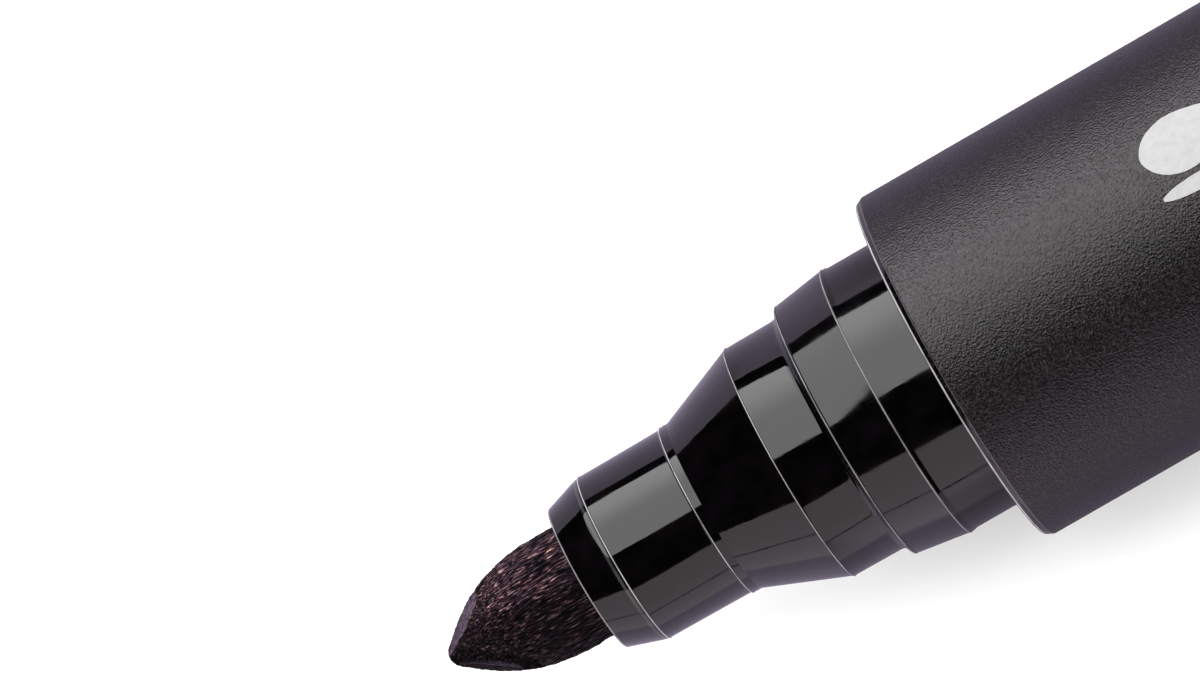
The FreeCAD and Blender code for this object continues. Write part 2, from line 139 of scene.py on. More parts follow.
def roughen(piece, name, along, across, height):
    """Raises and sinks a piece's surface by height millimetres in strands of the given size."""
    strands = bpy.data.textures.new(name, "CLOUDS")
    strands.noise_scale = 1.0
    strands.noise_depth = 2
    bpy.ops.object.empty_add(location=along_pen(-NIB_REACH))
    grain_place = bpy.context.object
    grain_place.scale = Vector((along, across, across)) * MM
    take_up(piece)
    relief = piece.modifiers.new(name, "DISPLACE")
    relief.texture = strands
    relief.texture_coords = "OBJECT"
    relief.texture_coords_object = grain_place
    relief.strength = height * MM
    relief.mid_level = 0.5
    bpy.context.view_layer.update()
    bpy.ops.object.modifier_apply(modifier=relief.name)
    bpy.data.objects.remove(grain_place)
    bpy.data.textures.remove(strands)


roughen(nib, "fibre_strands", 0.6, 0.1, 0.13)
roughen(nib, "fibre_lumps", 0.4, 0.3, 0.07)


def new_material(name):
    """A material with its Principled shader and node tools."""
    material = bpy.data.materials.new(name)
    material.use_nodes = True
    nodes = material.node_tree.nodes
    return material, nodes, material.node_tree.links, nodes["Principled BSDF"]


def dress(piece, material):
    """Gives a piece one material only."""
    piece.data.materials.clear()
    piece.data.materials.append(material)


def streak_group():
    """Node group: noise in millimetres, longer along the pen than across it."""
    group = bpy.data.node_groups.new("drawn_out_streaks", "ShaderNodeTree")
    for label, value in (("Along mm", 1.0), ("Across mm", 0.05), ("Detail", 4.0), ("Roughness", 0.6)):
        socket = group.interface.new_socket(name=label, in_out="INPUT", socket_type="NodeSocketFloat")
        socket.default_value = value
    group.interface.new_socket(name="Height", in_out="OUTPUT", socket_type="NodeSocketFloat")
    nodes, links = group.nodes, group.links
    entry = nodes.new("NodeGroupInput")
    leave = nodes.new("NodeGroupOutput")
    coordinates = nodes.new("ShaderNodeTexCoord")
    parts = nodes.new("ShaderNodeSeparateXYZ")
    links.new(coordinates.outputs["Object"], parts.inputs[0])
    joined = nodes.new("ShaderNodeCombineXYZ")
    for axis, pitch in (("X", "Along mm"), ("Y", "Across mm"), ("Z", "Across mm")):
        to_mm = nodes.new("ShaderNodeMath")
        to_mm.operation = "MULTIPLY"
        to_mm.inputs[1].default_value = 1 / MM
        links.new(parts.outputs[axis], to_mm.inputs[0])
        cells = nodes.new("ShaderNodeMath")
        cells.operation = "DIVIDE"
        links.new(to_mm.outputs[0], cells.inputs[0])
        links.new(entry.outputs[pitch], cells.inputs[1])
        links.new(cells.outputs[0], joined.inputs[axis])
    fine = nodes.new("ShaderNodeTexNoise")
    fine.inputs["Scale"].default_value = 1.0
    links.new(joined.outputs[0], fine.inputs["Vector"])
    links.new(entry.outputs["Detail"], fine.inputs["Detail"])
    links.new(entry.outputs["Roughness"], fine.inputs["Roughness"])
    links.new(fine.outputs["Fac"], leave.inputs["Height"])
    return group


streaks = streak_group()


def add_streaks(nodes, along, across, detail=4.0, roughness=0.6):
    """One use of the streaks in a material; lengths in millimetres."""
    node = nodes.new("ShaderNodeGroup")
    node.node_tree = streaks
    node.inputs["Along mm"].default_value = along
    node.inputs["Across mm"].default_value = across
    node.inputs["Detail"].default_value = detail
    node.inputs["Roughness"].default_value = roughness
    return node


def colour_ramp(nodes, links, source, stops):
    """Maps a value to colours at the given places."""
    ramp = nodes.new("ShaderNodeValToRGB")
    elements = ramp.color_ramp.elements
    while len(elements) < len(stops):
        elements.new(1.0)
    for element, (place, colour) in zip(elements, stops):
        element.position = place
        element.color = (*colour, 1.0)
    links.new(source, ramp.inputs["Fac"])
    return ramp


def bump_from(nodes, links, height, distance, strength=1.0):
    """A bump whose height of one is distance millimetres."""
    bump = nodes.new("ShaderNodeBump")
    bump.inputs["Distance"].default_value = distance * MM
    bump.inputs["Strength"].default_value = strength
    links.new(height, bump.inputs["Height"])
    return bump


# painted light: the fibre's colour is lighter on the side that faces the softbox and darker away from it; which
# way that side faces, and between how many radii that way it sets in
LIT_SIDE_ACROSS = 0.85
LIT_SIDE_UP = 0.53
LIT_SIDE_START = 0.42
LIT_SIDE_END = 0.72
SHADED_SIDE_LEVEL = 0.75


def fibre_material(name, stops, along, across, depth, lit_side_gain=1.0):
    """Ink-soaked fibre: strands of dark browns and purples with a rough, matted surface, and painted light that
    makes the side toward the softbox lighter.
    """
    material, nodes, links, shader = new_material(name)
    fibres = add_streaks(nodes, along, across, detail=3.0, roughness=0.55)
    tint = add_streaks(nodes, along * 1.4, across * 2.6, detail=3.0)
    strands = colour_ramp(nodes, links, fibres.outputs["Height"], stops)
    warmth = colour_ramp(nodes, links, tint.outputs["Height"],
                         [(0.34, (0.4, 0.37, 0.55)), (0.5, (1.0, 0.84, 0.95)), (0.62, (1.8, 1.4, 1.4))])
    blend = nodes.new("ShaderNodeMix")
    blend.data_type = "RGBA"
    blend.blend_type = "MULTIPLY"
    blend.inputs["Factor"].default_value = 1.0
    links.new(strands.outputs["Color"], blend.inputs["A"])
    links.new(warmth.outputs["Color"], blend.inputs["B"])
    coordinates = nodes.new("ShaderNodeTexCoord")
    # painted light and shade: the colour is scaled from a shaded level up to a lit level across the side that
    # faces the softbox
    toward_lit_side = nodes.new("ShaderNodeVectorMath")
    toward_lit_side.operation = "DOT_PRODUCT"
    toward_lit_side.inputs[1].default_value = (0, LIT_SIDE_ACROSS / NIB_RADIUS / MM, LIT_SIDE_UP / NIB_RADIUS / MM)
    links.new(coordinates.outputs["Object"], toward_lit_side.inputs[0])
    level = axis_place.dot(Vector(toward_lit_side.inputs[1].default_value))
    lit_side_ramp = nodes.new("ShaderNodeMapRange")
    lit_side_ramp.interpolation_type = "SMOOTHSTEP"
    lit_side_ramp.inputs["From Min"].default_value = level + LIT_SIDE_START
    lit_side_ramp.inputs["From Max"].default_value = level + LIT_SIDE_END
    lit_side_ramp.inputs["To Min"].default_value = SHADED_SIDE_LEVEL
    lit_side_ramp.inputs["To Max"].default_value = lit_side_gain
    links.new(toward_lit_side.outputs["Value"], lit_side_ramp.inputs["Value"])
    painted_side_light = nodes.new("ShaderNodeMix")
    painted_side_light.data_type = "RGBA"
    painted_side_light.blend_type = "MULTIPLY"
    painted_side_light.inputs["Factor"].default_value = 1.0
    links.new(blend.outputs["Result"], painted_side_light.inputs["A"])
    links.new(lit_side_ramp.outputs["Result"], painted_side_light.inputs["B"])
    links.new(painted_side_light.outputs["Result"], shader.inputs["Base Color"])
    wet = nodes.new("ShaderNodeMapRange")
    wet.inputs["To Min"].default_value = 0.35
    wet.inputs["To Max"].default_value = 0.75
    links.new(tint.outputs["Height"], wet.inputs["Value"])
    links.new(wet.outputs["Result"], shader.inputs["Roughness"])
    relief = bump_from(nodes, links, fibres.outputs["Height"], depth)
    links.new(relief.outputs["Normal"], shader.inputs["Normal"])
    shader.inputs["Specular IOR Level"].default_value = 0.06
    return material


# the brightest gold-brown strands are the fibre's own colour and also a painted highlight for the fibres' glints,
# as the specular is kept low
inked_fibre = fibre_material(
    "inked_fibre",
    [(0.4, (0.0003, 0.0002, 0.0004)), (0.485, (0.0038, 0.0021, 0.0035)), (0.56, (0.018, 0.0105, 0.013)),
     (0.645, (0.058, 0.041, 0.043)), (0.78, (0.25, 0.2, 0.145))],
    along=0.55, across=0.07, depth=0.35, lit_side_gain=2.9)
# the flat's lighter purple is the ground fibre's own colour and also a painted sheen for the light the flat
# catches
ground_fibre = fibre_material(
    "ground_fibre",
    [(0.36, (0.018, 0.013, 0.021)), (0.5, (0.046, 0.036, 0.051)), (0.64, (0.12, 0.1, 0.132))],
    along=0.4, across=0.07, depth=0.1)
wetted_fibre = fibre_material(
    "wetted_fibre",
    [(0.42, (0.002, 0.0013, 0.0025)), (0.55, (0.017, 0.012, 0.019)), (0.7, (0.08, 0.062, 0.085))],
    along=0.6, across=0.07, depth=0.15)
dress(nib, inked_fibre)
nib.data.materials.append(ground_fibre)
nib.data.materials.append(wetted_fibre)


def grind_flat(piece, turn, start, end, slot):
    """Grinds a flat on the point: turn is its angle round the pen from straight up."""
    take_up(piece)
    bpy.ops.object.mode_set(mode="EDIT")
    bpy.ops.mesh.select_all(action="SELECT")
    outward = Vector((0, math.sin(turn), math.cos(turn)))
    chord = Vector((end[0] - start[0], 0, 0)) + outward * (end[1] - start[1])
    normal = outward * chord.x - Vector((1, 0, 0)) * (end[1] - start[1])
    place = along_pen(start[0]) + outward * start[1] * MM
    bpy.ops.mesh.bisect(plane_co=place, plane_no=normal.normalized(), use_fill=True, clear_outer=True)
    bpy.ops.mesh.select_mode(type="FACE")
    bpy.ops.object.mode_set(mode="OBJECT")
    flat = max((face for face in piece.data.polygons if face.select), key=lambda face: face.area)
    flat.material_index = slot


UPPER_FLAT = math.radians(58)
LOWER_FLAT = math.radians(-70)
# (angle from straight up, length along the pen, height at the tip, material slot)
for turn, reach, edge, slot in ((UPPER_FLAT, 2.7, 0.03, 1), (LOWER_FLAT, 3.0, 0.26, 2)):
    rim = point_radius(reach) + POINT_FULLNESS
    grind_flat(nib, turn, (-NIB_REACH, edge), (-NIB_REACH + reach, rim), slot)

take_up(nib)
bpy.ops.object.shade_smooth_by_angle(angle=math.radians(40))
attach(nib, "pen")
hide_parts("brush_nib")

# --- Nib holder ---------------------------------------------------------------------------------
# The front moulding in polished black plastic: lip, cone, neck, bead, flare, sealing land and a
# coved shoulder. Its spigot plugs into the grip collar. Every edge keeps a small mould radius.
LIP_FRONT = -17.45
NECK_FRONT = -15.69
BEAD = -11.74
LAND_FRONT = -7.74
COVE_FRONT = -5.5
HOLDER_BACK = -5.0
SPIGOT_END = 3.0
HOLDER_BORE = 2.6
RELIEF_BORE = 3.4
SPIGOT_RADIUS = 4.6
LAND_RADIUS = 5.42
SHOULDER_RADIUS = 5.84
COVE_RADIUS = 0.37
CONE_FOOT = [(-16.04, 3.75), (-15.95, 3.776), (-15.86, 3.798), (-15.78, 3.813)]
COVE = [(COVE_FRONT + COVE_RADIUS * math.sin(turn), LAND_RADIUS + COVE_RADIUS * (1 - math.cos(turn)))
        for turn in (math.radians(angle) for angle in (0, 22, 45, 67, 90))]


def round_the_edges(piece, width, turn=6, segments=3):
    """Bevels every edge sharper than turn degrees by width in millimetres, with smooth shading."""
    take_up(piece)
    bpy.ops.object.shade_smooth()
    bevel = piece.modifiers.new("edge_rounding", "BEVEL")
    bevel.width = width * MM
    bevel.segments = segments
    bevel.limit_method = "ANGLE"
    bevel.angle_limit = math.radians(turn)
    bevel.use_clamp_overlap = True
    bpy.ops.object.modifier_apply(modifier=bevel.name)
    even = piece.modifiers.new("even_shading", "WEIGHTED_NORMAL")
    even.weight = 100
    bpy.ops.object.modifier_apply(modifier=even.name)


def mould_line(along, radius, slope_before=0.0, slope_after=0.0):
    """The fine raised line that a mould's joint leaves round a turned piece."""
    half, proud = 0.035, 0.03
    return [(along - half, radius - slope_before * half), (along - half * 0.6, radius + proud * 0.75),
            (along, radius + proud), (along + half * 0.6, radius + proud * 0.75),
            (along + half, radius + slope_after * half)]


holder = turned_piece("nib_holder_moulding", [
    (LIP_FRONT, HOLDER_BORE), (LIP_FRONT, 3.27), (-17.42, 3.3), *CONE_FOOT,
    *mould_line(NECK_FRONT, 3.83, 0.15), (-13.1, 3.85), (-11.82, 3.865),
    *mould_line(BEAD, 3.91), (-11.62, 3.93), (-11.36, 3.93), *mould_line(LAND_FRONT, 5.40, 0.42), *COVE,
    (HOLDER_BACK - 0.1, SHOULDER_RADIUS), *mould_line(HOLDER_BACK - 0.05, 5.86, 0.2, 0.1),
    (HOLDER_BACK, SHOULDER_RADIUS), (HOLDER_BACK, SPIGOT_RADIUS), (SPIGOT_END, SPIGOT_RADIUS),
    (SPIGOT_END, RELIEF_BORE), (-10.5, RELIEF_BORE), (-11.45, HOLDER_BORE)])
round_the_edges(holder, 0.02, turn=20)


def edge_highlight_group():
    """Node group: a mask round the pen at one place for a painted highlight on an edge, broken up unevenly by
    noise.
    """
    group = bpy.data.node_groups.new("painted_edge_highlight", "ShaderNodeTree")
    for label, value in (("Place mm", 0.0), ("Half width mm", 0.03)):
        socket = group.interface.new_socket(name=label, in_out="INPUT", socket_type="NodeSocketFloat")
        socket.default_value = value
    group.interface.new_socket(name="Mask", in_out="OUTPUT", socket_type="NodeSocketFloat")
    nodes, links = group.nodes, group.links
    entry = nodes.new("NodeGroupInput")
    leave = nodes.new("NodeGroupOutput")
    coordinates = nodes.new("ShaderNodeTexCoord")
    parts = nodes.new("ShaderNodeSeparateXYZ")
    links.new(coordinates.outputs["Object"], parts.inputs[0])
    behind = nodes.new("ShaderNodeMapRange")
    behind.clamp = False
    behind.inputs["From Min"].default_value = axis_place.x
    behind.inputs["From Max"].default_value = axis_place.x + MM
    links.new(parts.outputs["X"], behind.inputs["Value"])
    gap = nodes.new("ShaderNodeMath")
    gap.operation = "SUBTRACT"
    links.new(behind.outputs["Result"], gap.inputs[0])
    links.new(entry.outputs["Place mm"], gap.inputs[1])
    distance = nodes.new("ShaderNodeMath")
    distance.operation = "ABSOLUTE"
    links.new(gap.outputs[0], distance.inputs[0])
    line = nodes.new("ShaderNodeMapRange")
    line.interpolation_type = "SMOOTHSTEP"
    line.inputs["To Min"].default_value = 1.0
    line.inputs["To Max"].default_value = 0.0
    links.new(distance.outputs[0], line.inputs["Value"])
    links.new(entry.outputs["Half width mm"], line.inputs["From Max"])
    # noise breaks the painted highlight into uneven patches
    highlight_breakup = nodes.new("ShaderNodeTexNoise")
    highlight_breakup.inputs["Scale"].default_value = 900
    highlight_breakup.inputs["Detail"].default_value = 3.0
    links.new(coordinates.outputs["Object"], highlight_breakup.inputs["Vector"])
    patch = nodes.new("ShaderNodeMapRange")
    patch.inputs["From Min"].default_value = 0.3
    patch.inputs["From Max"].default_value = 0.6
    patch.inputs["To Min"].default_value = 0.45
    links.new(highlight_breakup.outputs["Fac"], patch.inputs["Value"])
    mask = nodes.new("ShaderNodeMath")
    mask.operation = "MULTIPLY"
    links.new(line.outputs["Result"], mask.inputs[0])
    links.new(patch.outputs["Result"], mask.inputs[1])
    links.new(mask.outputs[0], leave.inputs["Mask"])
    return group


edge_highlight_nodes = edge_highlight_group()


def paint_edge_highlights(nodes, links, colour, lines):
    """Paints pale highlights over a colour as thin rings at edges; each line is a place, a half width and a shade,
    the painted highlight's brightness.
    """
    for place, half_width, shade in lines:
        mask = nodes.new("ShaderNodeGroup")
        mask.node_tree = edge_highlight_nodes
        mask.inputs["Place mm"].default_value = place
        mask.inputs["Half width mm"].default_value = half_width
        over = nodes.new("ShaderNodeMix")
        over.data_type = "RGBA"
        over.inputs["B"].default_value = (shade, shade * 0.97, shade, 1)
        links.new(mask.outputs["Mask"], over.inputs["Factor"])
        links.new(colour, over.inputs["A"])
        colour = over.outputs["Result"]
    return colour


def polished_black(name, streak_length, blotch, lines):
    """Black plastic from a polished mould: near-mirror gloss with faint drawn marks, and pale highlights painted
    at its edges.
    """
    material, nodes, links, shader = new_material(name)
    marks = add_streaks(nodes, streak_length, 0.35, detail=3.0, roughness=0.5)
    cloud = add_streaks(nodes, 1.6, 1.1, detail=2.0)
    gloss = nodes.new("ShaderNodeMapRange")
    gloss.inputs["From Min"].default_value = 0.3
    gloss.inputs["From Max"].default_value = 0.75
    gloss.inputs["To Min"].default_value = 0.03
    gloss.inputs["To Max"].default_value = 0.03 + blotch
    links.new(cloud.outputs["Height"], gloss.inputs["Value"])
    links.new(gloss.outputs["Result"], shader.inputs["Roughness"])
    relief = bump_from(nodes, links, marks.outputs["Height"], 0.006, 0.4)
    links.new(relief.outputs["Normal"], shader.inputs["Normal"])
    ink = colour_ramp(nodes, links, cloud.outputs["Height"],
                      [(0.3, (0.0005, 0.0004, 0.0005)), (0.8, (0.0016, 0.0012, 0.0016))])
    links.new(paint_edge_highlights(nodes, links, ink.outputs["Color"], lines), shader.inputs["Base Color"])
    return material


# painted highlights: pale rings at the holder's edges, each a place, a half width and a brightness
front_black = polished_black("polished_black_front", 2.5, 0.06, [
    (NECK_FRONT - 0.18, 0.1, 0.035), (LIP_FRONT + 0.05, 0.04, 0.22), (NECK_FRONT, 0.035, 0.38),
    (BEAD, 0.035, 0.34), (LAND_FRONT, 0.03, 0.3), (HOLDER_BACK - 0.04, 0.04, 0.2)])
dress(holder, front_black)
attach(holder, "pen")
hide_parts("nib_holder")

# --- Grip collar --------------------------------------------------------------------------------
# The rear of the front section, in the same black plastic: a snap cone for the cap, a thin bead,
# and a plug pressed into the barrel. The ink reservoir sits in its skirt.
SNAP_EDGE = -2.66
SNAP_RADIUS = 6.225
COLLAR_BORE = 4.63
PLUG_RADIUS = 6.17
PLUG_END = 20.0
SKIRT_BORE = 5.45
SEAT_FRONT = 5.0
SEAT_BACK = 7.0
SEAT_BORE = 3.9
collar = turned_piece("grip_collar_moulding", [
    (HOLDER_BACK, COLLAR_BORE), (HOLDER_BACK, 5.86), (-4.97, 5.885),
    *mould_line(SNAP_EDGE, SNAP_RADIUS, 0.16), (-2.5, SNAP_RADIUS), (-2.36, 6.18),
    (PLUG_END, PLUG_RADIUS), (PLUG_END, SKIRT_BORE),
    (SEAT_BACK, SKIRT_BORE), (SEAT_BACK, SEAT_BORE), (SEAT_FRONT, SEAT_BORE), (SEAT_FRONT, COLLAR_BORE)])
round_the_edges(collar, 0.02, turn=25)
# painted highlights: two pale rings on the snap edge
collar_black = polished_black("polished_black_collar", 1.5, 0.1,
                              [(SNAP_EDGE, 0.06, 0.12), (SNAP_EDGE, 0.03, 0.2)])
dress(collar, collar_black)
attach(collar, "pen")
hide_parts("grip_collar")

# --- Inside the pen -----------------------------------------------------------------------------
# The slotted nib guide and the breather tube are natural polypropylene, and the reservoir is a
# rod of inked fibre in clear film. They keep their frame shapes and only need their surfaces.
natural_plastic, nodes, links, shader = new_material("natural_plastic")
haze = add_streaks(nodes, 3.0, 0.8)
milky = colour_ramp(nodes, links, haze.outputs["Height"],
                    [(0.3, (0.7, 0.7, 0.66)), (0.7, (0.84, 0.84, 0.81))])
links.new(milky.outputs["Color"], shader.inputs["Base Color"])
shader.inputs["Roughness"].default_value = 0.38
relief = bump_from(nodes, links, haze.outputs["Height"], 0.02)
links.new(relief.outputs["Normal"], shader.inputs["Normal"])
for node_name in ("nib_guide", "breather_tube"):
    dress(frame["nodes"][node_name], natural_plastic)

reservoir_fibre = fibre_material(
    "reservoir_fibre",
    [(0.3, (0.02, 0.008, 0.014)), (0.55, (0.07, 0.03, 0.05)), (0.8, (0.2, 0.11, 0.15))],
    along=6.0, across=0.09, depth=0.06)
dress(frame["nodes"]["ink_reservoir"], reservoir_fibre)

clear_film, nodes, links, shader = new_material("clear_film")
shader.inputs["Alpha"].default_value = 0.4
creases = add_streaks(nodes, 8.0, 1.2)
tinted = colour_ramp(nodes, links, creases.outputs["Height"],
                     [(0.3, (0.62, 0.6, 0.64)), (0.7, (0.8, 0.79, 0.82))])
links.new(tinted.outputs["Color"], shader.inputs["Base Color"])
shader.inputs["Roughness"].default_value = 0.15
relief = bump_from(nodes, links, creases.outputs["Height"], 0.05)
links.new(relief.outputs["Normal"], shader.inputs["Normal"])
dress(frame["nodes"]["reservoir_wrap"], clear_film)

# --- Barrel -------------------------------------------------------------------------------------
# A moulded tube, 16 mm through, in charcoal plastic. Its outside has a fine spark-eroded grain and
# its ends a narrow polished bevel.
BARREL_LENGTH = 94.0
BARREL_RADIUS = 8.0
BORE = 6.2
FACE_RADIUS = 7.84
BEVEL = 0.26
BEVEL_RADIUS = 7.965
BEVEL_END = 0.33
barrel = turned_piece("barrel_tube", [
    (0.0, BORE), (0.0, FACE_RADIUS), (BEVEL, BEVEL_RADIUS), (BEVEL_END, BARREL_RADIUS),
    (BARREL_LENGTH - BEVEL_END, BARREL_RADIUS), (BARREL_LENGTH - BEVEL, BEVEL_RADIUS),
    (BARREL_LENGTH, FACE_RADIUS), (BARREL_LENGTH, BORE)], sides=224)
round_the_edges(barrel, 0.03)

# the grain starts this far in from an end face and comes up over this length
GRAIN_START = 0.27
GRAIN_FADE = 0.08


def grained_charcoal(name, bevel_places, lines):
    """Charcoal plastic with a spark-eroded grain, polished on its bevels and bare end faces, with pale highlights
    painted at its edges.
    """
    material, nodes, links, shader = new_material(name)
    coordinates = nodes.new("ShaderNodeTexCoord")
    shift = nodes.new("ShaderNodeMapping")
    shift.inputs["Location"].default_value = [-value for value in axis_place]
    links.new(coordinates.outputs["Object"], shift.inputs["Vector"])
    grain = nodes.new("ShaderNodeTexNoise")
    grain.inputs["Scale"].default_value = 13500
    grain.inputs["Detail"].default_value = 2.0
    grain.inputs["Roughness"].default_value = 0.55
    links.new(coordinates.outputs["Object"], grain.inputs["Vector"])
    pits = nodes.new("ShaderNodeTexVoronoi")
    pits.inputs["Scale"].default_value = 10000
    links.new(coordinates.outputs["Object"], pits.inputs["Vector"])
    relief = nodes.new("ShaderNodeMath")
    relief.operation = "MULTIPLY_ADD"
    relief.inputs[1].default_value = 0.8
    links.new(pits.outputs["Distance"], relief.inputs[0])
    links.new(grain.outputs["Fac"], relief.inputs[2])
    clouds = nodes.new("ShaderNodeTexNoise")
    clouds.inputs["Scale"].default_value = 9500
    clouds.inputs["Detail"].default_value = 4
    links.new(coordinates.outputs["Object"], clouds.inputs["Vector"])
    parts = nodes.new("ShaderNodeSeparateXYZ")
    links.new(shift.outputs["Vector"], parts.inputs[0])
    front = nodes.new("ShaderNodeMapRange")
    front.inputs["From Min"].default_value = bevel_places[0] * MM
    front.inputs["From Max"].default_value = (bevel_places[0] + GRAIN_FADE) * MM
    links.new(parts.outputs["X"], front.inputs["Value"])
    rear = nodes.new("ShaderNodeMapRange")
    rear.inputs["From Min"].default_value = bevel_places[1] * MM
    rear.inputs["From Max"].default_value = (bevel_places[1] - GRAIN_FADE) * MM
    links.new(parts.outputs["X"], rear.inputs["Value"])
    grained = nodes.new("ShaderNodeMath")
    grained.operation = "MULTIPLY"
    links.new(front.outputs["Result"], grained.inputs[0])
    links.new(rear.outputs["Result"], grained.inputs[1])
    height = nodes.new("ShaderNodeMath")
    height.operation = "MULTIPLY"
    links.new(relief.outputs[0], height.inputs[0])
    links.new(grained.outputs[0], height.inputs[1])
    bump = bump_from(nodes, links, height.outputs[0], 0.026)
    links.new(bump.outputs["Normal"], shader.inputs["Normal"])
    tone = colour_ramp(nodes, links, clouds.outputs["Fac"],
                       [(0.42, (0.0004, 0.0003, 0.0004)), (0.53, (0.0012, 0.001, 0.0012)),
                        (0.65, (0.014, 0.0115, 0.013))])
    rubbed = paint_edge_highlights(nodes, links, tone.outputs["Color"], lines)
    links.new(rubbed, shader.inputs["Base Color"])
    gloss = nodes.new("ShaderNodeMapRange")
    gloss.inputs["To Min"].default_value = 0.1
    gloss.inputs["To Max"].default_value = 0.22
    links.new(grained.outputs[0], gloss.inputs["Value"])
    links.new(gloss.outputs["Result"], shader.inputs["Roughness"])
    shader.inputs["Specular Tint"].default_value = (1.0, 0.93, 0.98, 1)
    return material


# painted highlights: a bright ring at the front edge and faint ones behind it and at the tail edge
barrel_charcoal = grained_charcoal(
    "grained_charcoal_barrel", (GRAIN_START, BARREL_LENGTH - GRAIN_START),
    [(0.06, 0.05, 0.36), (0.3, 0.04, 0.05), (BARREL_LENGTH - 0.06, 0.05, 0.06)])
dress(barrel, barrel_charcoal)
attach(barrel, "pen")
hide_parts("barrel")

# --- Barrel print -------------------------------------------------------------------------------
# A plain drop over a tapered stroke, pad-printed in white ink. Each is a flat patch that follows
# its widths and is then laid on the barrel's surface.
PRINT_FRONT = 11.6
PRINT_TURN = math.radians(16)
PRINT_STEPS = 40
PRINT_HEIGHT = 9
INK_THICKNESS = 0.012


def printed_patch(name, along, aside, length, width, fullness):
    """Draws a patch that swells and tapers along the pen, in millimetres, and wraps it on the barrel."""
    start_clean()
    stations = []
    for step in range(1, PRINT_STEPS):
        share = (1 - math.cos(math.pi * step / PRINT_STEPS)) / 2
        stations.append((length * share, width * math.sin(math.pi * share ** fullness)))
    (start, start_width), (second, second_width) = stations[:2]
    bpy.ops.mesh.primitive_grid_add(x_subdivisions=1, y_subdivisions=12, size=1)
    patch = bpy.context.object
    patch.name = name
    patch.data.name = name
    patch.scale = ((second - start) * MM, start_width * MM, 1)
    bpy.ops.object.transform_apply(location=False, rotation=False, scale=True)
    bpy.ops.object.mode_set(mode="EDIT")
    bpy.ops.transform.translate(value=((second - start) / 2 * MM, 0, 0))
    bpy.ops.object.mode_set(mode="OBJECT")
    for part in (*patch.data.vertices, *patch.data.edges, *patch.data.polygons):
        part.select = False
    for edge in patch.data.edges:
        edge.select = all(patch.data.vertices[end].co.x > 0.001 * MM for end in edge.vertices)
    bpy.ops.object.mode_set(mode="EDIT")
    bpy.ops.mesh.select_mode(type="EDGE")
    bpy.ops.transform.resize(value=(1, second_width / start_width, 1), center_override=(0, 0, 0))
    for (place, wide), (next_place, next_wide) in zip(stations[1:], stations[2:]):
        bpy.ops.mesh.extrude_region_move(TRANSFORM_OT_translate={"value": ((next_place - place) * MM, 0, 0)})
        bpy.ops.transform.resize(value=(1, next_wide / wide, 1), center_override=(0, 0, 0))
    bpy.ops.object.mode_set(mode="OBJECT")
    outward = Vector((0, math.sin(PRINT_TURN), math.cos(PRINT_TURN)))
    spot = along_pen(along, aside * math.cos(PRINT_TURN), -aside * math.sin(PRINT_TURN))
    patch.location = spot + outward * PRINT_HEIGHT * MM
    patch.rotation_euler = (-PRINT_TURN, 0, 0)
    bpy.ops.object.shade_smooth()
    wrap = patch.modifiers.new("laid_on_barrel", "SHRINKWRAP")
    wrap.target = barrel
    wrap.wrap_mode = "ABOVE_SURFACE"
    wrap.offset = INK_THICKNESS * MM
    bpy.ops.object.modifier_apply(modifier=wrap.name)
    bpy.ops.object.transform_apply(location=True, rotation=True, scale=True)
    return patch


drop = printed_patch("barrel_print", PRINT_FRONT, 0.55, 5.6, 3.0, 0.6)
stroke = printed_patch("print_stroke", PRINT_FRONT + 0.1, -1.65, 9.5, 0.8, 0.5)
take_up(drop)
stroke.select_set(True)
bpy.ops.object.join()
white_print, nodes, links, shader = new_material("white_print")
coverage = add_streaks(nodes, 0.4, 0.3, detail=5.0)
opaque = colour_ramp(nodes, links, coverage.outputs["Height"],
                     [(0.3, (0.27, 0.27, 0.275)), (0.65, (0.31, 0.31, 0.315))])
links.new(opaque.outputs["Color"], shader.inputs["Base Color"])
shader.inputs["Roughness"].default_value = 0.55
relief = bump_from(nodes, links, coverage.outputs["Height"], 0.02)
links.new(relief.outputs["Normal"], shader.inputs["Normal"])
dress(drop, white_print)
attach(drop, "pen")

# --- Tail plug ----------------------------------------------------------------------------------
# A hollow black plug pressed into the barrel's tail. Behind the barrel it repeats the collar's
# snap cone, so that the cap posts on it, and ends in a boss that the cap's liner clears.
TAIL = BARREL_LENGTH
TAIL_BORE = 4.97
CONE_RADIUS = 6.25
BOSS_RADIUS = 5.1
BOSS_BORE = 3.9
plug = turned_piece("tail_plug_moulding", [
    (TAIL - 10, TAIL_BORE), (TAIL - 10, PLUG_RADIUS), (TAIL + 2.36, 6.18), (TAIL + 2.5, CONE_RADIUS),
    (TAIL + 2.7, CONE_RADIUS), (TAIL + 2.78, 6.235), (TAIL + 4.9, 5.9), (TAIL + 5.0, 5.86),
    (TAIL + 5.0, BOSS_RADIUS), (TAIL + 7.5, BOSS_RADIUS), (TAIL + 7.5, NEAR_AXIS), (TAIL + 6.3, NEAR_AXIS),
    (TAIL + 6.3, BOSS_BORE), (TAIL + 3.8, BOSS_BORE), (TAIL, TAIL_BORE)])
round_the_edges(plug, 0.08)
dress(plug, collar_black)
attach(plug, "pen")
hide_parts("tail_plug")

# --- Cap liner ----------------------------------------------------------------------------------
# A translucent cup of natural polypropylene inside the cap shell. On the closed pen it seals on
# the holder's land and keeps the nib wet.
LINER_RADIUS = 6.25
LINER_BORE = 5.45
liner = turned_piece("cap_liner_cup", [
    (TAIL + 5.7, LINER_BORE), (TAIL + 5.7, LINER_RADIUS), (TAIL + 32.97, LINER_RADIUS),
    (TAIL + 32.97, LINER_BORE), (TAIL + 28.0, LINER_BORE), (TAIL + 28.0, NEAR_AXIS),
    (TAIL + 27.0, NEAR_AXIS), (TAIL + 27.0, LINER_BORE)])
round_the_edges(liner, 0.15)
dress(liner, natural_plastic)
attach(liner, "liner")
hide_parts("cap_liner")

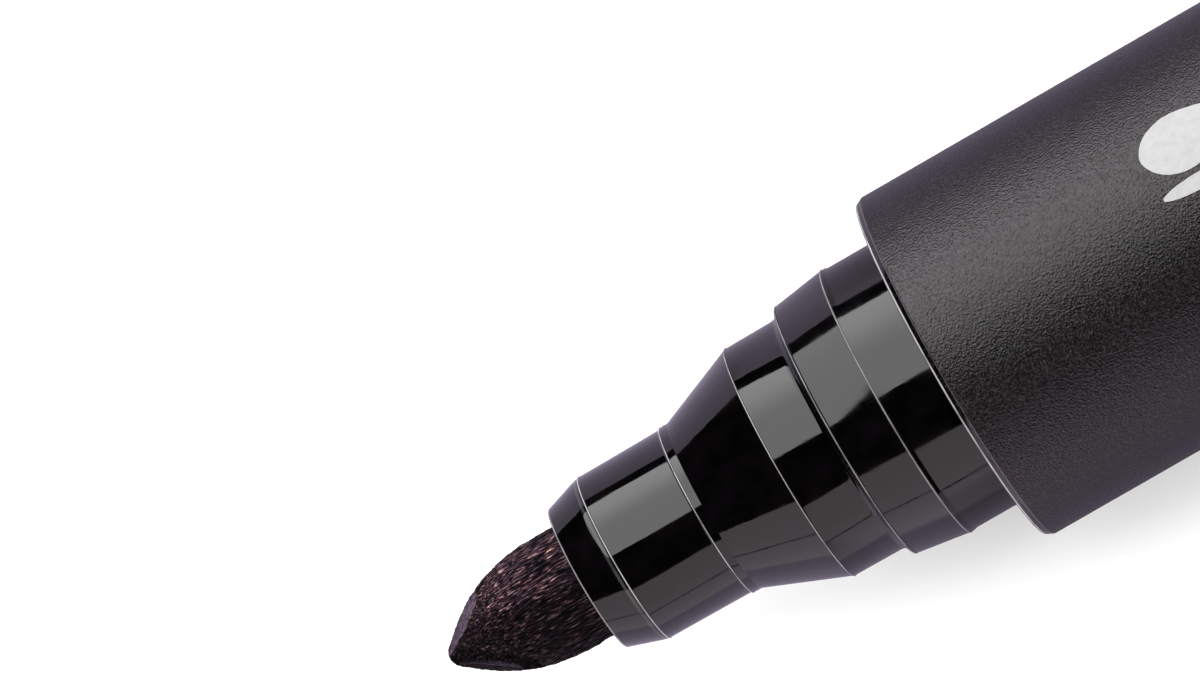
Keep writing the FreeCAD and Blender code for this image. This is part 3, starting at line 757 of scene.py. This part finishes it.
# --- Cap shell ----------------------------------------------------------------------------------
# The cap's tube, flush with the barrel and in the same grained plastic, open at the mouth and
# recessed at its end for the crown. The slot for the clip's tongue is under the clip's foot and
# isn't cut here: the tongue runs through the wall.
CAP_END = TAIL + 36.0
CAP_BORE = 6.3
END_ROUND = 0.9
END_FLAT_RADIUS = 7.1
CROWN_RECESS = 1.2
RECESS_RADIUS = 6.0
STUB_BORE = 4.0
END_WALL = 3.0
shell_end = [(CAP_END - END_ROUND + END_ROUND * math.sin(turn), END_FLAT_RADIUS + END_ROUND * math.cos(turn))
             for turn in (math.radians(angle) for angle in range(0, 91, 10))]
shell = turned_piece("cap_shell_tube", [
    (TAIL, CAP_BORE), (TAIL, FACE_RADIUS), (TAIL + BEVEL, BEVEL_RADIUS), (TAIL + BEVEL_END, BARREL_RADIUS),
    *shell_end, (CAP_END, RECESS_RADIUS), (CAP_END - CROWN_RECESS, RECESS_RADIUS),
    (CAP_END - CROWN_RECESS, STUB_BORE), (CAP_END - END_WALL, STUB_BORE), (CAP_END - END_WALL, CAP_BORE)],
    sides=224)
round_the_edges(shell, 0.03, turn=20)
# the cap's closed end has no polished bevel, so its grain runs on past the end; the ring at its mouth is a painted
# highlight
cap_charcoal = grained_charcoal("grained_charcoal_cap", (TAIL + GRAIN_START, CAP_END + 5),
                                [(TAIL + 0.06, 0.05, 0.06)])
dress(shell, cap_charcoal)
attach(shell, "cap")
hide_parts("cap_shell")

# --- Cap crown ----------------------------------------------------------------------------------
# A polished black disc pressed into the end of the cap, slightly proud, with a soft rim and a
# shallow dish.
CROWN_RADIUS = 5.97
CROWN_STUB = 3.97
CROWN_RIM = CAP_END + 0.35
CROWN_DISH = CAP_END + 0.27
crown = turned_piece("cap_crown_disc", [
    (CAP_END - 3.8, NEAR_AXIS), (CAP_END - 3.8, CROWN_STUB), (CAP_END - CROWN_RECESS, CROWN_STUB),
    (CAP_END - CROWN_RECESS, CROWN_RADIUS), (CAP_END + 0.12, CROWN_RADIUS), (CAP_END + 0.28, 5.88),
    (CROWN_RIM, 5.7), (CROWN_RIM, 4.75),
    *((CROWN_DISH, radius) for radius in (4.6, 3.4, 2.0, 0.8, NEAR_AXIS))])
round_the_edges(crown, 0.06)
dress(crown, front_black)
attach(crown, "cap")
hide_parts("cap_crown")

# --- Clip ---------------------------------------------------------------------------------------
# A sprung arm in polished black plastic. Its foot and its padded tip stand just clear of the
# shell, and its tongue holds it in the shell's wall.
clip_hinge = [joint for joint in frame["joints"] if joint["name"] == "clip_flex"][0]
clip_roll = math.atan2(clip_hinge["axis"][2], clip_hinge["axis"][1])

CLIP_TOP = 10.9
ARM = 1.5
NEAR_SHELL = 8.3
UNDER = CLIP_TOP - ARM
# (behind the cap's mouth, underside, top, width)
clip_stations = [
    (3.0, UNDER + 0.25, 10.2, 3.4), (3.5, UNDER - 0.2, 10.75, 4.0), (4.2, NEAR_SHELL + 0.1, 10.95, 4.4),
    (5.0, NEAR_SHELL, CLIP_TOP, 4.6), (6.0, NEAR_SHELL, CLIP_TOP, 4.7),
    (7.2, NEAR_SHELL + 0.35, CLIP_TOP, 4.75),
    (9.0, UNDER, CLIP_TOP, 4.8), (16.0, UNDER, CLIP_TOP, 4.9), (27.0, UNDER, CLIP_TOP, 5.0),
    (28.1, UNDER - 0.35, CLIP_TOP, 5.0), (28.8, NEAR_SHELL, CLIP_TOP, 5.0), (32.4, NEAR_SHELL, CLIP_TOP, 5.0),
    (33.0, NEAR_SHELL, 10.65, 4.9), (33.2, NEAR_SHELL, 10.2, 4.8)]
tongue_stations = [(along, 6.8, 9.0, 2.4) for along in (29.9, 31.0, 32.1)]


def squared_bar(name, stations, start):
    """Extrudes a rectangle along the pen through (along, low, high, width) stations."""
    start_clean()
    along, low, high, width = stations[0]
    bpy.ops.mesh.primitive_plane_add(size=1, location=along_pen(start + along, 0, (low + high) / 2),
                                     rotation=(0, math.pi / 2, 0))
    bar = bpy.context.object
    bar.name = name
    bar.data.name = name
    bar.scale = ((high - low) * MM, width * MM, 1)
    bpy.ops.object.transform_apply(location=True, rotation=True, scale=True)
    bpy.ops.object.mode_set(mode="EDIT")
    bpy.ops.mesh.select_mode(type="FACE")
    bpy.ops.mesh.select_all(action="SELECT")
    for here, there in zip(stations, stations[1:]):
        middle_here = (here[1] + here[2]) / 2
        middle_there = (there[1] + there[2]) / 2
        step = Vector((there[0] - here[0], 0, middle_there - middle_here)) * MM
        bpy.ops.mesh.extrude_region_move(TRANSFORM_OT_translate={"value": step})
        grow = (1, there[3] / here[3], (there[2] - there[1]) / (here[2] - here[1]))
        bpy.ops.transform.resize(value=grow, center_override=along_pen(start + there[0], 0, middle_there))
    bpy.ops.mesh.select_all(action="SELECT")
    bpy.ops.mesh.normals_make_consistent(inside=False)
    bpy.ops.object.mode_set(mode="OBJECT")
    return bar


clip = squared_bar("clip_arm", clip_stations, TAIL)
tongue = squared_bar("clip_tongue", tongue_stations, TAIL)
take_up(clip)
tongue.select_set(True)
bpy.ops.object.join()
round_the_edges(clip, 0.5, turn=40, segments=4)
clip.data.transform(Matrix.Translation(axis_place) @ Matrix.Rotation(clip_roll, 4, "X")
                    @ Matrix.Translation(-axis_place))
dress(clip, front_black)
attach(clip, "clip")
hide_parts("clip")

# --- Desk, lights and camera --------------------------------------------------------------------
# A pale desk. A tall narrow softbox stands behind the pen, a low grey card in front, and the room
# between them stays dark in reflections.
start_clean()
bpy.ops.mesh.primitive_plane_add(size=16)
desk = bpy.context.object
desk.name = "desk"
desk_material, nodes, links, shader = new_material("pale_desk")
shader.inputs["Roughness"].default_value = 0.9
shader.inputs["Specular IOR Level"].default_value = 0.1
desk_path = nodes.new("ShaderNodeLightPath")
desk_place = nodes.new("ShaderNodeNewGeometry")
desk_parts = nodes.new("ShaderNodeSeparateXYZ")
links.new(desk_place.outputs["Position"], desk_parts.inputs[0])
# painted shade in reflections: glossy rays see the desk dimmer than it is, lavender near the pen, paler in front,
# dark beside the barrel
in_front = nodes.new("ShaderNodeMapRange")
in_front.inputs["From Min"].default_value = -0.020
in_front.inputs["From Max"].default_value = -0.023
links.new(desk_parts.outputs["Y"], in_front.inputs["Value"])
mirrored = nodes.new("ShaderNodeMix")
mirrored.data_type = "RGBA"
mirrored.inputs["A"].default_value = (0.34, 0.3, 0.4, 1)
mirrored.inputs["B"].default_value = (0.56, 0.5, 0.58, 1)
links.new(in_front.outputs["Result"], mirrored.inputs["Factor"])
beside_barrel = nodes.new("ShaderNodeMapRange")
beside_barrel.inputs["From Min"].default_value = -0.066
beside_barrel.inputs["From Max"].default_value = -0.056
beside_barrel.inputs["To Min"].default_value = 1.0
beside_barrel.inputs["To Max"].default_value = 0.55
links.new(desk_parts.outputs["X"], beside_barrel.inputs["Value"])
dimmed = nodes.new("ShaderNodeMix")
dimmed.data_type = "RGBA"
dimmed.blend_type = "MULTIPLY"
dimmed.inputs["Factor"].default_value = 1.0
links.new(mirrored.outputs["Result"], dimmed.inputs["A"])
links.new(beside_barrel.outputs["Result"], dimmed.inputs["B"])
desk_tone = nodes.new("ShaderNodeMix")
desk_tone.data_type = "RGBA"
desk_tone.inputs["A"].default_value = (0.93, 0.93, 0.93, 1)
links.new(desk_path.outputs["Is Glossy Ray"], desk_tone.inputs["Factor"])
links.new(dimmed.outputs["Result"], desk_tone.inputs["B"])
links.new(desk_tone.outputs["Result"], shader.inputs["Base Color"])
dress(desk, desk_material)

# camera: nearly straight down, the nib tipped away by 6.8 degrees, the pen rising at 30 degrees
VIEW_MM = 49.5
DISTANCE = 0.6
look = Vector((-0.118, 0.12, 0))
look.z = -math.sqrt(1 - look.length_squared)
pen_line = Vector((1, 0, 0)) - look * look.x
pen_line.normalize()
square_to_pen = (-look).cross(pen_line)
rise = math.radians(30)
right = pen_line * math.cos(rise) - square_to_pen * math.sin(rise)
up = pen_line * math.sin(rise) + square_to_pen * math.cos(rise)
target = along_pen(0) - right * 14.515 * MM + up * 1.196 * MM
camera_data = bpy.data.cameras.new("camera")
camera_data.sensor_width = 36
camera_data.lens = camera_data.sensor_width * DISTANCE / (VIEW_MM * MM)
camera = bpy.data.objects.new("camera", camera_data)
bpy.context.collection.objects.link(camera)
turned = Matrix((right, up, -look)).transposed().to_4x4()
camera.matrix_world = Matrix.Translation(target - look * DISTANCE) @ turned
bpy.context.scene.camera = camera

camera_lift = math.degrees(math.atan2(-look.z, look.y))


def panel(name, from_camera, to_camera, nibward, capward, radiance):
    """A light that the pen mirrors between two angles from the camera, and two along the pen."""
    distance = 2.4
    middle = math.radians(camera_lift + (from_camera + to_camera) / 2)
    start, end = (distance * math.tan(math.radians(angle)) for angle in (nibward, capward))
    data = bpy.data.lights.new(name, "AREA")
    data.shape = "RECTANGLE"
    data.size = end - start
    data.size_y = 2 * distance * math.tan(math.radians(abs(to_camera - from_camera) / 2))
    data.energy = radiance * math.pi * data.size * data.size_y
    light = bpy.data.objects.new(name, data)
    bpy.context.collection.objects.link(light)
    side = Vector((1, 0, 0))
    away = Vector((0, -math.cos(middle), math.sin(middle)))
    place = along_pen(-8) + away * distance + side * (start + end) / 2
    facing = Matrix((side, away.cross(side), away)).transposed().to_4x4()
    light.matrix_world = Matrix.Translation(place) @ facing
    light.visible_camera = False
    return light


def fade(light, low, high, start, end):
    """Makes a panel's light change evenly from its lower edge to its upper edge."""
    light.data.use_nodes = True
    nodes, links = light.data.node_tree.nodes, light.data.node_tree.links
    place = nodes.new("ShaderNodeNewGeometry")
    parts = nodes.new("ShaderNodeSeparateXYZ")
    links.new(place.outputs["Parametric"], parts.inputs[0])
    ramp = nodes.new("ShaderNodeMapRange")
    ramp.interpolation_type = "SMOOTHSTEP"
    ramp.inputs["From Min"].default_value = start
    ramp.inputs["From Max"].default_value = end
    ramp.inputs["To Min"].default_value = low
    ramp.inputs["To Max"].default_value = high
    links.new(parts.outputs["Y"], ramp.inputs["Value"])
    links.new(ramp.outputs["Result"], nodes["Emission"].inputs["Strength"])


softbox = panel("softbox", 10, 84, -21, 15, 5.0)
fade(softbox, 0.68, 1.0, 0.45, 0.8)
panel("side_box", 10, 84, -36, -21, 3.4)
card = panel("grey_card", -82, -40, -58, 3, 1.2)
card.data.color = (1.0, 0.9, 0.97)

# the room lights the pen evenly, but the gloss sees it dark apart from the cap's side
world = bpy.data.worlds.new("room")
bpy.context.scene.world = world
world.use_nodes = True
nodes, links = world.node_tree.nodes, world.node_tree.links
background = nodes["Background"]
path = nodes.new("ShaderNodeLightPath")
strength = nodes.new("ShaderNodeMapRange")
strength.inputs["To Min"].default_value = 1.3
links.new(path.outputs["Is Glossy Ray"], strength.inputs["Value"])
towards = nodes.new("ShaderNodeTexCoord")
heading = nodes.new("ShaderNodeSeparateXYZ")
links.new(towards.outputs["Generated"], heading.inputs[0])
cap_side = nodes.new("ShaderNodeMapRange")
cap_side.interpolation_type = "SMOOTHSTEP"
cap_side.inputs["From Min"].default_value = 0.35
cap_side.inputs["From Max"].default_value = 0.75
cap_side.inputs["To Max"].default_value = 0.6
links.new(heading.outputs["X"], cap_side.inputs["Value"])
links.new(cap_side.outputs["Result"], strength.inputs["To Max"])
links.new(strength.outputs["Result"], background.inputs["Strength"])
background.inputs["Color"].default_value = (1, 1, 1, 1)

bpy.context.scene.view_settings.view_transform = "Standard"
